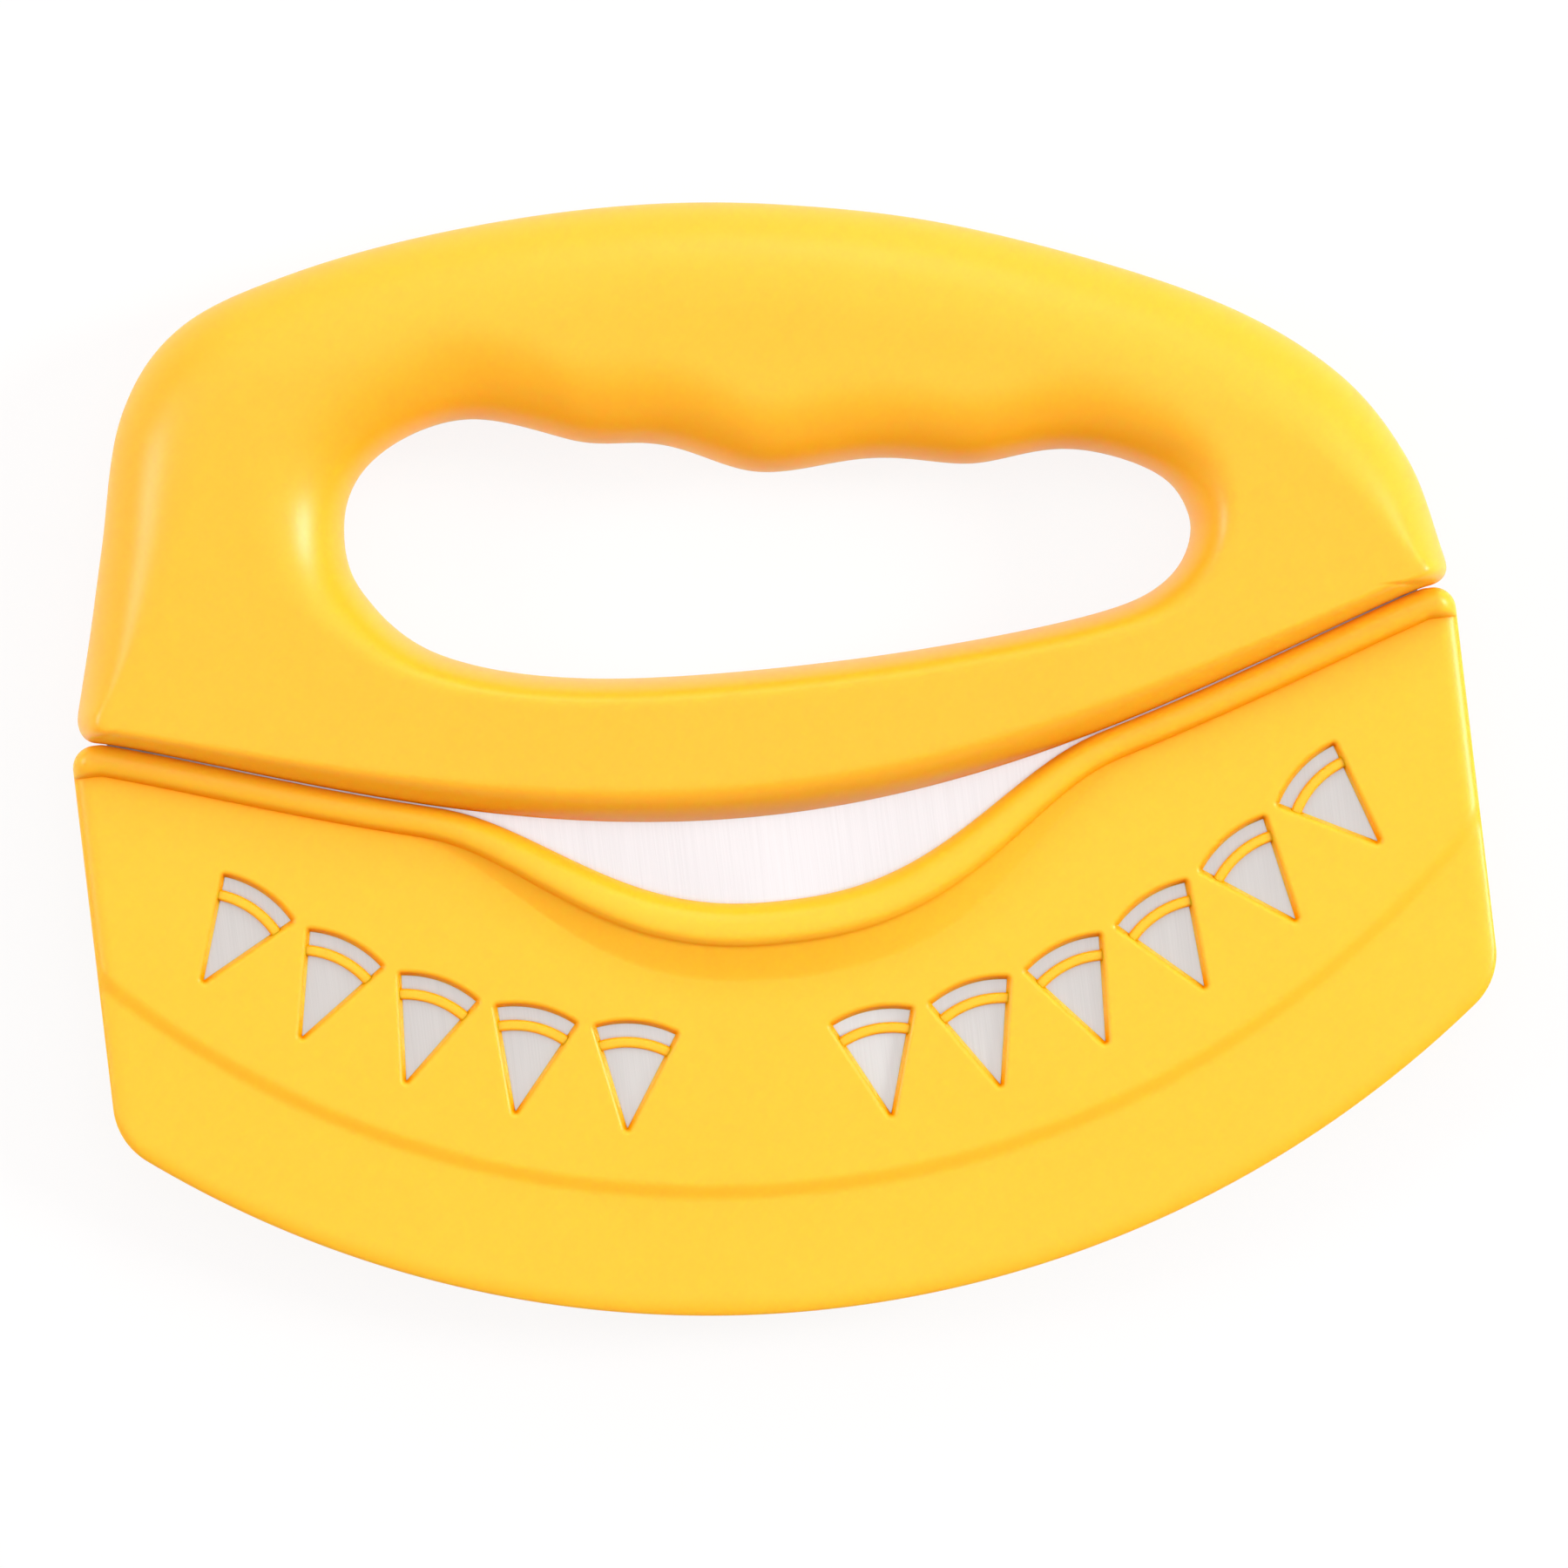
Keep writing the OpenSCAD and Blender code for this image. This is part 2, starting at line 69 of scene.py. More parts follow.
CREST_KNOTS = np.array([
    (-0.986, 0.055), (-0.953, 0.231), (-0.922, 0.409), (-0.872, 0.682), (-0.773, 0.853),
    (-0.600, 0.940), (-0.376, 0.989), (-0.127, 0.999), (0.106, 0.962), (0.365, 0.868),
    (0.677, 0.677), (0.860, 0.488), (0.955, 0.278), (0.994, 0.044)]) * (HALF_W, HANDLE_H)
OPENING_Y = BAR_H - FOOT_BOW
OPENING_KNOTS = np.array([
    (-0.974, 0.467), (-0.995, 0.729), (-0.926, 0.921), (-0.775, 0.992), (-0.506, 0.967),
    (-0.128, 0.759), (0.416, 0.679), (0.866, 0.604), (0.996, 0.389), (0.929, 0.158),
    (0.699, 0.049), (0.147, -0.003), (-0.436, 0.036), (-0.803, 0.192)]) \
    * (OPENING_W / 2, OPENING_H) + (OPENING_X, OPENING_Y)
# place, depth and width of each finger groove, and the height in the opening where they start
FINGER_SHARES = [(-0.700, 0.9, 1.06), (-0.215, 1.17, 0.88), (0.266, 0.58, 0.99), (0.712, 0.65, 0.91)]
GROOVED_SHARE = 0.4
CREST_STEPS, TOE_STEPS, FOOT_STEPS = 52, 3, 26
STATIONS = CREST_STEPS + FOOT_STEPS + 2 * TOE_STEPS


# Curves of the outlines, as in the part's source

def through(a, b, c, d, t):
    """Point at share t of the way from b to c on a smooth curve through four points."""
    return (2 * b + (c - a) * t + (2 * a - 5 * b + 4 * c - d) * t * t
            + (3 * b - a - 3 * c + d) * t * t * t) / 2


def open_curve(k, u):
    """Point at share u of the smooth curve through the knots k."""
    n = len(k) - 1
    i = min(int(u * n), n - 1)
    a = k[i - 1] if i > 0 else 2 * k[0] - k[1]
    d = k[i + 2] if i + 2 <= n else 2 * k[n] - k[n - 1]
    return through(a, k[i], k[i + 1], d, u * n - i)


def loop_curve(k, u):
    """Point at share u of the smooth closed curve through the knots k."""
    n = len(k)
    i = int(u * n) % n
    return through(k[i - 1], k[i], k[(i + 1) % n], k[(i + 2) % n], u * n - int(u * n))


def bend(a, b, c, t):
    """Point at share t of the bend from a to c round the corner b."""
    p, q = a + (b - a) * t, b + (c - b) * t
    return p + (q - p) * t


def ease(t):
    """Smooth step from 0 to 1."""
    t = min(max(t, 0.0), 1.0)
    return t * t * (3 - 2 * t)


def rounded(q):
    """Height of a quarter circle of radius 1 at q from its foot."""
    q = np.clip(q, 0, 1)
    return np.sqrt(q * (2 - q))


def foot_y(x):
    """Lower edge of the handle, which the guard's lip follows."""
    return -FOOT_BOW * max(math.cos(math.pi * x / FOOT_W), 0.0) ** BOW_POWER


def handle_edge(u):
    """Outer edge of the handle at station u, a whole number or not."""
    first, last = CREST_KNOTS[0], CREST_KNOTS[-1]
    u = u % STATIONS
    foot_u = u - CREST_STEPS - TOE_STEPS
    if u <= CREST_STEPS:
        return open_curve(CREST_KNOTS, u / CREST_STEPS)
    if foot_u < 0:
        toe = np.array((FOOT_W / 2, 0))
        return bend(last, np.array((last[0], 0)), toe, (u - CREST_STEPS) / TOE_STEPS)
    if foot_u <= FOOT_STEPS:
        x = FOOT_W * (0.5 - foot_u / FOOT_STEPS)
        return np.array((x, foot_y(x)))
    toe = np.array((-FOOT_W / 2, 0))
    return bend(toe, np.array((first[0], 0)), first, (foot_u - FOOT_STEPS) / TOE_STEPS)


def grooves(p):
    """Depth of the finger grooves at a point of the opening's upper edge."""
    if p[1] < OPENING_Y + GROOVED_SHARE * OPENING_H:
        return 0.0
    total = 0.0
    for place, depth, width in FINGER_SHARES:
        q = abs(p[0] - OPENING_X - place * OPENING_W / 2) / (width * FINGER_W / 2)
        if q < 1:
            total += depth * FINGER_D * (1 + math.cos(math.pi * q)) / 2
    return total


def opening_edge(u):
    """Edge of the finger opening at station u."""
    p = loop_curve(OPENING_KNOTS, (u % STATIONS) / STATIONS)
    return p + (0, grooves(p))


POCKET_Z = BLADE_T / 2 + POCKET_PLAY
FACE_Z = POCKET_Z + GUARD_WALL
SEAM_Z = GUARD_WALL / 2
LOWER_Z = FACE_Z - STEP_RISE
SOLE_R = EDGE_R + SOLE_RIM
ARC_Y = SOLE_R - GUARD_H
POCKET_R = EDGE_R + POCKET_PLAY
POCKET_W = BLADE_W / 2 + POCKET_PLAY
CORNER_X = HALF_W - CORNER_R
CORNER_Y = ARC_Y - math.sqrt((SOLE_R - CORNER_R) ** 2 - CORNER_X ** 2)
CORNER_FROM = CORNER_X * SOLE_R / (SOLE_R - CORNER_R)


def lip_line_y(x):
    """Upper edge of the guard's lip before its corners are rounded."""
    q = min(abs(x - DIP_X) / DIP_W, 1)
    return foot_y(x) - JOINT_GAP - DIP_H * (1 - q ** DIP_POWERS[0]) ** DIP_POWERS[1]


def corner_drop(x):
    """How far the rounded corner of the lip lies below the line of the lip."""
    c = max(abs(x) - (HALF_W - LIP_CORNER_R), 0)
    return LIP_CORNER_R - math.sqrt(max(LIP_CORNER_R ** 2 - c * c, 0))


def ring_y(r, x):
    """Lower side of a circle of radius r about the centre of the blade's arc."""
    return ARC_Y - math.sqrt(r * r - x * x)


def sole_y(x):
    """Lower edge of the guard, with its rounded corners."""
    if abs(x) < CORNER_FROM:
        return ring_y(SOLE_R, x)
    return CORNER_Y - math.sqrt(max(CORNER_R ** 2 - (abs(x) - CORNER_X) ** 2, 0))


def apron_share(x):
    """Share of the apron at x: whole at the middle of the dip, none past its ends."""
    q = min(abs(x - DIP_X) / (APRON_REACH * DIP_W), 1)
    return (1 - q ** APRON_POWERS[0]) ** APRON_POWERS[1]


# from the joint line to the row frame, in millimetres
SHIFT = np.array((0.0, (GUARD_H - max(handle_edge(i)[1] for i in range(STATIONS))) / 2, HANDLE_T / 2))


# Helpers that fill outlines and build closed meshes

# points closer than this are one: CLOSE in millimetres, WELD and THIN in metres
CLOSE, WELD, THIN = 1e-5, 2e-6, 1e-7


def inside(points, loops):
    """Even-odd test of points against closed loops."""
    x, y = points[:, 0], points[:, 1]
    odd = np.zeros(len(points), bool)
    for loop in loops:
        a = np.asarray(loop)
        b = np.roll(a, -1, axis=0)
        for (x1, y1), (x2, y2) in zip(a, b):
            if y1 != y2:
                hit = ((y1 > y) != (y2 > y)) & (x < (x2 - x1) * (y - y1) / (y2 - y1) + x1)
                odd ^= hit
    return odd


def filled(loops, height, extra=()):
    """Points in space and triangles that fill closed loops with holes. Extra lines are kept as edges."""
    points, edges = [], []
    for loop in loops:
        start, n = len(points), len(loop)
        points += [Vector(p) for p in loop]
        edges += [(start + k, start + (k + 1) % n) for k in range(n)]
    for line in extra:
        start, n = len(points), len(line)
        points += [Vector(p) for p in line]
        edges += [(start + k, start + k + 1) for k in range(n - 1)]
    flat, _, faces, *_ = delaunay_2d_cdt(points, edges, [], 0, CLOSE, False)
    flat = np.array([(p.x, p.y) for p in flat])
    faces = np.array([list(f) for f in faces])
    keep = inside(flat[faces].mean(axis=1), loops)
    space = [(p[0], p[1], height(p[0], p[1])) for p in flat]
    return space, [list(f) for f in faces[keep]]


class Sheet:
    """Gathers patches of a surface and turns them into one closed mesh."""

    def __init__(self):
        self.points, self.faces = [], []

    def add(self, points, faces, flip=False):
        start = len(self.points)
        self.points += [tuple(p) for p in points]
        self.faces += [[start + i for i in (reversed(f) if flip else f)] for f in faces]

    def strip(self, a, b, flip=False, closed=False):
        """Quads between two lines of as many points."""
        n = len(a)
        steps = range(n if closed else n - 1)
        self.add(list(a) + list(b), [[k, n + k, n + (k + 1) % n, (k + 1) % n] for k in steps], flip)

    def build(self, name, mirror, sharp):
        """Object of the patches welded together, smooth but for edges over the sharp angle in degrees."""
        space = np.array(self.points, float)
        if mirror:
            space[:, 2] *= -1
        space = (space + SHIFT) * MM
        mesh = bpy.data.meshes.new(name)
        mesh.from_pydata(space.tolist(), [], self.faces)
        bm = bmesh.new()
        bm.from_mesh(mesh)
        bmesh.ops.remove_doubles(bm, verts=bm.verts, dist=WELD)
        bmesh.ops.dissolve_degenerate(bm, dist=THIN, edges=bm.edges)
        bmesh.ops.recalc_face_normals(bm, faces=bm.faces)
        open_edges = sum(1 for e in bm.edges if len(e.link_faces) != 2)
        bm.to_mesh(mesh)
        bm.free()
        print(name, "faces", len(mesh.polygons), "edges without two faces", open_edges)
        for p in mesh.polygons:
            p.use_smooth = True
        mesh.set_sharp_from_angle(angle=math.radians(sharp))
        piece = bpy.data.objects.new(name, mesh)
        scene.collection.objects.link(piece)
        return piece


# Handle shells

SUB_STEPS, SKIN_STEPS, LINING_STEPS, EASE_ROUNDS = 6, 44, 12, 6
RIM_GAP, SLOT_PLAY, SIDE_GROWTH, HANDLE_SHARP = 0.08, 0.04, 0.7, 50


def outer_round(p):
    """Radius of the handle's outer edge: small at the toes, growing fast up the sides to the crest."""
    if p[1] < 0:
        return TOE_ROUND - (FOOT_ROUND - TOE_ROUND) * p[1] / FOOT_BOW
    share = min(p[1] / HANDLE_H, 1) ** SIDE_GROWTH
    return TOE_ROUND + (CREST_ROUND - TOE_ROUND) * math.sin(math.pi / 2 * share)


def shell_sections():
    """Closed loops across the hollow shell, one for each place along its ring."""
    n = STATIONS * SUB_STEPS
    outer = np.array([handle_edge(i / SUB_STEPS) for i in range(n)])
    inner = np.array([opening_edge(i / SUB_STEPS) for i in range(n)])
    # the kinks between the runs of the outline are eased
    for line in (outer, inner):
        for _ in range(EASE_ROUNDS):
            line[:] = (np.roll(line, 1, axis=0) + 2 * line + np.roll(line, -1, axis=0)) / 4
    run_outer = np.roll(outer, -2, axis=0) - np.roll(outer, 2, axis=0)
    run_inner = np.roll(inner, -2, axis=0) - np.roll(inner, 2, axis=0)
    out = []
    for k in range(n):
        a, b = outer[k], inner[k]
        way = (b - a) / np.linalg.norm(b - a)
        sin_a = abs(np.cross(way, run_outer[k])) / np.linalg.norm(run_outer[k])
        sin_b = abs(np.cross(way, run_inner[k])) / np.linalg.norm(run_inner[k])
        round_a = outer_round(a)
        round_b = SILL_ROUND + (FINGER_ROUND - SILL_ROUND) * ease((b[1] - OPENING_Y) / OPENING_H)
        # the blade comes out of the foot, so the shells stand off it there
        foot_u = k / SUB_STEPS - CREST_STEPS - TOE_STEPS
        span = abs(FOOT_W * (0.5 - foot_u / FOOT_STEPS))
        foot = 0 <= foot_u <= FOOT_STEPS and span < BLADE_W / 2
        low = BLADE_T / 2 + SLOT_PLAY if foot else RIM_GAP
        loop = []
        for inset, steps in ((0, SKIN_STEPS), (SHELL_WALL, LINING_STEPS)):
            p, q = a + way * inset / sin_a, b - way * inset / sin_b
            length = np.linalg.norm(q - p)
            s = length * (1 - np.cos(np.pi * np.arange(steps + 1) / steps)) / 2
            z = (HANDLE_T / 2 - inset) * rounded(s * sin_a / max(round_a - inset, inset / 2)) \
                * rounded((length - s) * sin_b / max(round_b - inset, inset / 2))
            share = s / length
            z = np.maximum(z, low * (1 - share) + RIM_GAP * share)
            line_points = [(p[0] + way[0] * v, p[1] + way[1] * v, h) for v, h in zip(s, z)]
            loop += line_points if inset == 0 else line_points[::-1]
        out.append(loop)
    return out


SECTIONS = shell_sections()


def handle_shell(name, mirror):
    sheet = Sheet()
    n, m = len(SECTIONS), len(SECTIONS[0])
    faces = []
    for i in range(n):
        here, there = i * m, (i + 1) % n * m
        faces += [[here + j, here + (j + 1) % m, there + (j + 1) % m, there + j] for j in range(m)]
    sheet.add([p for s in SECTIONS for p in s], faces)
    return sheet.build(name, mirror, HANDLE_SHARP)


# Guard shells with their windows and pocket

WALL_FILLET, WALL_DRAFT, FILLET_STEPS = 0.7, 0.28, 5
GUIDE_GAP = 0.08
CUT_CORNER, CORNER_STEPS, CRUST_STEPS = 0.35, 7, 18
WEB_ROUND, WEB_STEPS, WEB_REACH = 0.45, 15, 0.6


def slice_loop(grow):
    """Loop round a window with its tip at the origin and rounded corners, grown outward by grow."""
    half_angle = math.radians(SLICE_ANGLE / 2)
    r = CUT_CORNER
    s, c = math.sin(half_angle), math.cos(half_angle)
    side = np.array((c, -s))          # outward normal of the right side
    tip = np.array((0.0, r / s))
    # corner centres lie r inside the side and the crust
    t = math.sqrt((SLICE_H - r) ** 2 - r ** 2)
    right = np.array((t * s, t * c)) - side * r
    loop = []

    def arc(centre, a0, a1, n):
        for k in range(n + 1):
            a = a0 + (a1 - a0) * k / n
            loop.append(centre + (r + grow) * np.array((math.cos(a), math.sin(a))))

    a_side = math.atan2(side[1], side[0])
    crust_a = math.atan2(right[1], right[0])
    arc(tip, -math.pi - a_side, a_side, 2 * CORNER_STEPS)
    arc(right, a_side, crust_a, CORNER_STEPS)
    for k in range(1, CRUST_STEPS):
        a = crust_a + (math.pi - 2 * crust_a) * k / CRUST_STEPS
        loop.append((SLICE_H + grow) * np.array((math.cos(a), math.sin(a))))
    arc(right * (-1, 1), math.pi - crust_a, math.pi - a_side, CORNER_STEPS)
    return np.array(loop)


def slice_places():
    """Functions that take points of a slice to each of its places on the guard."""
    row = (LEFT_COUNT + RIGHT_COUNT - 2) * SLICE_PITCH + GROUP_GAP
    tip_r = SOLE_R - STEP_W - SLICE_RISE
    for i in range(LEFT_COUNT + RIGHT_COUNT):
        turn = i * SLICE_PITCH + (0 if i < LEFT_COUNT else GROUP_GAP - SLICE_PITCH) - row / 2
        a = math.radians(turn)
        c, s = math.cos(a), math.sin(a)
        yield lambda q, c=c, s=s: np.stack(
            (q[:, 0] * c - (q[:, 1] - tip_r) * s, q[:, 0] * s + (q[:, 1] - tip_r) * c + ARC_Y), axis=1)


SEAM_CLOSE = 0.25
# the lip's section, from its upper edge down: shares of its width and of its rise
LIP_SHARES = np.array([
    (0, 0.1), (0.08, 0.5), (0.22, 0.84), (0.42, 1), (0.64, 0.95), (0.82, 0.74), (0.94, 0.34), (1, 0)])
LIP_STEPS, APRON_ROWS, STEP_ROWS, LOWER_ROWS, ROUND_ROWS = 28, 10, 8, 3, 12
# row of a column at which the flat face starts
FLAT_FROM = LIP_STEPS + 1 + APRON_ROWS
FLAT_INSET, SLOPE_REACH = 0.15, 0.09
COLUMN_STEPS, PATCH_W, ARC_POINTS, GUARD_SHARP = 120, 84, 121, 38


def guard_column(x):
    """One column of the guard's face, from the lip to the sole."""
    a, b = max(x - SLOPE_REACH, -HALF_W), min(x + SLOPE_REACH, HALF_W)
    steep = min(math.hypot(1, (lip_line_y(b) - lip_line_y(a)) / (b - a)), LIP_STRETCH)
    top, sole, apron = lip_line_y(x), sole_y(x), apron_share(x)
    # the lip's upper edge closes up to the handle's foot outside the dip, and drops round the corners
    lift = SEAM_CLOSE * (1 - apron) - corner_drop(x)
    lip = LIP_W + LIP_SWELL * apron
    rows = []
    for k in range(LIP_STEPS + 1):
        s, h = open_curve(LIP_SHARES, k / LIP_STEPS)
        rows.append((top + lift * (1 - s) - s * lip * steep,
                     FACE_Z + (LIP_RISE + LIP_HEAVE * apron) * max(h, 0) + APRON_RISE * apron * s))
    width = APRON_W * (APRON_END + (1 - APRON_END) * apron)
    for k in range(1, APRON_ROWS + 1):
        t = k / APRON_ROWS
        rows.append((top - (lip + width * t) * steep,
                     FACE_Z + APRON_RISE * apron * (1 - t) ** APRON_FALL))
    rows.append((rows[-1][0] - FLAT_INSET, FACE_Z))
    step_r = SOLE_R - STEP_W
    rows.append((ring_y(step_r, x) + FLAT_INSET, FACE_Z))
    for k in range(STEP_ROWS + 1):
        t = k / STEP_ROWS
        rows.append((ring_y(step_r + STEP_RUN * t, x), FACE_Z - STEP_RISE * ease(t)))
    start, end = rows[-1][0] - FLAT_INSET, sole + EDGE_ROUND + FLAT_INSET
    for k in range(LOWER_ROWS + 1):
        rows.append((start + (end - start) * k / LOWER_ROWS, LOWER_Z))
    for k in range(ROUND_ROWS + 1):
        q = 1 - math.sin(math.pi / 2 * k / ROUND_ROWS)
        rows.append((sole + EDGE_ROUND * q, SEAM_Z + (LOWER_Z - SEAM_Z) * float(rounded(q))))
    side = float(rounded((HALF_W - abs(x)) / EDGE_ROUND))
    return [(x, y, SEAM_Z + (z - SEAM_Z) * side) for y, z in rows]


def add_windows(sheet):
    """Walls of the windows. Gives the line of each in the face and its line in the pocket's roof."""
    cuts = []
    for place in slice_places():
        rings = []
        for k in range(FILLET_STEPS + 1):
            a = math.pi / 2 * k / FILLET_STEPS
            grow, z = WALL_FILLET * (1 - math.cos(a)), FACE_Z - WALL_FILLET * (1 - math.sin(a))
            rings.append([(x, y, z) for x, y in place(slice_loop(grow))])
        guide = place(slice_loop(WALL_FILLET + GUIDE_GAP))
        rings.append([(x, y, FACE_Z) for x, y in guide])
        base = [(x, y, POCKET_Z) for x, y in place(slice_loop(-WALL_DRAFT))]
        for a, b in zip([base] + rings, rings):
            sheet.strip(a, b, closed=True)
        cuts.append((guide, base))
    return cuts


def add_webs(sheet):
    """Sunk webs between the crusts and their slices, run into the walls of the windows."""
    web_r, half_w, top = SLICE_H - CRUST_W, WEB_W / 2, FACE_Z - WEB_SINK
    reach = math.radians(SLICE_ANGLE / 2) + math.asin(WEB_REACH * WEB_W / web_r)
    middle = web_r - half_w
    turns = [math.pi / 2 * k / FILLET_STEPS for k in range(FILLET_STEPS + 1)]
    side = [(half_w - WEB_ROUND * (1 - math.cos(a)), top - WEB_ROUND * (1 - math.sin(a))) for a in turns]
    profile = [(middle - half_w, POCKET_Z)] + [(middle - r, h) for r, h in side] \
        + [(middle + r, h) for r, h in side[::-1]] + [(middle + half_w, POCKET_Z)]
    end = [list(range(len(profile)))]
    for place in slice_places():
        rows = []
        for a in np.linspace(-reach, reach, WEB_STEPS):
            flat = place(np.array([(r * math.sin(a), r * math.cos(a)) for r, _ in profile]))
            rows.append([(x, y, h) for (x, y), (_, h) in zip(flat, profile)])
        for a, b in zip(rows, rows[1:]):
            sheet.strip(a, b, closed=True)
        sheet.add(rows[0], end)
        sheet.add(rows[-1], end, flip=True)


def pocket_line(r):
    """Line at a radius about the blade's arc, from one side of the pocket to the other."""
    turn = math.asin(POCKET_W / r)
    line = [(r * math.sin(a), ARC_Y - r * math.cos(a)) for a in np.linspace(-turn, turn, ARC_POINTS)]
    line[0], line[-1] = (-POCKET_W, line[0][1]), (POCKET_W, line[-1][1])
    return line


def pocket_roof(x, y):
    """Height of the pocket's roof, which slopes over the blade's bevel."""
    slope = BEVEL_H + POCKET_PLAY
    t = min(max((math.hypot(x, y - ARC_Y) - POCKET_R + slope) / slope, 0), 1)
    return POCKET_Z + (EDGE_T / 2 + POCKET_PLAY - POCKET_Z) * t


def floor_of(line):
    return [(p[0], p[1], 0.0) for p in line]


def guard_shell(name, front):
    sheet = Sheet()
    xs = sorted({round(HALF_W * math.sin(math.pi / 2 * i / COLUMN_STEPS), 5)
                 for i in range(-COLUMN_STEPS, COLUMN_STEPS + 1)} | {-POCKET_W, POCKET_W})
    columns = [guard_column(x) for x in xs]
    m = len(columns[0])
    patch = [i for i, x in enumerate(xs) if abs(x) <= PATCH_W]
    i0, i1 = patch[0], patch[-1]
    for i, (here, there) in enumerate(zip(columns, columns[1:])):
        # the front's flat face is left open here and filled round the windows
        skipped = FLAT_FROM if front and i0 <= i < i1 else None
        sheet.add(here + there, [[j, j + 1, m + j + 1, m + j] for j in range(m - 1) if j != skipped])
    cuts = []
    if front:
        cuts = add_windows(sheet)
        top = [columns[i][FLAT_FROM][:2] for i in range(i0, i1 + 1)]
        low = [columns[i][FLAT_FROM + 1][:2] for i in range(i1, i0 - 1, -1)]
        sheet.add(*filled([top + low] + [[tuple(p) for p in guide] for guide, _ in cuts],
                          lambda x, y: FACE_Z))
        add_webs(sheet)

    # the flat underside round the pocket
    lip_line = [c[0] for c in columns]
    sole_line = [c[-1] for c in columns]
    left = [i for i, x in enumerate(xs) if x <= -POCKET_W]
    right = [i for i, x in enumerate(xs) if x >= POCKET_W]
    arc, bevel = pocket_line(POCKET_R), pocket_line(POCKET_R - BEVEL_H - POCKET_PLAY)
    under = [lip_line[i][:2] for i in left] + [bevel[0]] + arc + [bevel[-1]] \
        + [lip_line[i][:2] for i in right] + [p[:2] for p in columns[-1][1:-1]] \
        + [p[:2] for p in sole_line[::-1]] + [p[:2] for p in columns[0][-2:0:-1]]
    sheet.add(*filled([under], lambda x, y: 0.0))
    for line in (sole_line, columns[0], columns[-1]):
        sheet.strip(floor_of(line), line)
    ledge = [(x, y, min(z, POCKET_Z)) for x, y, z in lip_line]
    sheet.strip(ledge, lip_line)
    for line in (ledge[:left[-1] + 1], ledge[right[0]:]):
        sheet.strip(floor_of(line), line)

    # the pocket's roof and side walls
    mouth = [i for i, x in enumerate(xs) if abs(x) <= POCKET_W]
    side_l = [lip_line[mouth[0]][:2], bevel[0], arc[0]]
    side_r = [arc[-1], bevel[-1], lip_line[mouth[-1]][:2]]
    outline = side_l[:-1] + arc + side_r[1:] + [lip_line[i][:2] for i in mouth[-2:0:-1]]
    loops = [outline] + [[p[:2] for p in base] for _, base in cuts]
    sheet.add(*filled(loops, pocket_roof, [bevel]), flip=True)
    for line in (side_l, arc, side_r):
        sheet.strip(floor_of(line), [(x, y, pocket_roof(x, y)) for x, y in line])
    return sheet.build(name, not front, GUARD_SHARP)


# Materials

CLOUD_SCALE, GRAIN_SCALE, BRUSH_SCALE = 35, 2600, (5200, 60, 60)
BRUSH_DARK, SATIN_ROUGHER, GLOSS = 0.86, 0.12, 0.5
# openness at which a hollow has its full painted shade (more orange, less specular), among all pieces or
# in one piece alone, and none of it
HOLLOW_ALL, HOLLOW_OWN, HOLLOW_NONE = 0.45, 0.7, 0.97
# lengths in metres: how far hollows are felt for the painted shade, the height of bumps, and the radii
# where the blade's band of painted shade and extra roughness sets in
HOLLOW_REACH, BUMP_DEPTH = 0.008, 0.0001
SATIN_AND_SHADE_FROM, SATIN_AND_SHADE_TO = 0.089, 0.104


def set_inputs(node, values):
    for key, value in values.items():
        node.inputs[key].default_value = value


def add_node(tree, kind, values=None, **settings):
    """Shader node of a kind, with its own settings and the values of its inputs."""
    node = tree.nodes.new("ShaderNode" + kind)
    for key, value in settings.items():
        setattr(node, key, value)
    set_inputs(node, values or {})
    return node


def add_ramp(tree, value, low, high):
    """Colour that goes from one place and colour of the value to another."""
    ramp = add_node(tree, "ValToRGB")
    for element, (place, colour) in zip(ramp.color_ramp.elements, (low, high)):
        element.position, element.color = place, (*colour, 1)
    tree.links.new(value, ramp.inputs["Fac"])
    return ramp.outputs["Color"]


def add_bump(tree, shader, height, strength):
    bump = add_node(tree, "Bump", {"Strength": strength, "Distance": BUMP_DEPTH})
    tree.links.new(height, bump.inputs["Height"])
    tree.links.new(bump.outputs["Normal"], shader.inputs["Normal"])


def node_material(name):
    material = bpy.data.materials.new(name)
    material.use_nodes = True
    tree = material.node_tree
    return material, tree, tree.nodes["Principled BSDF"]


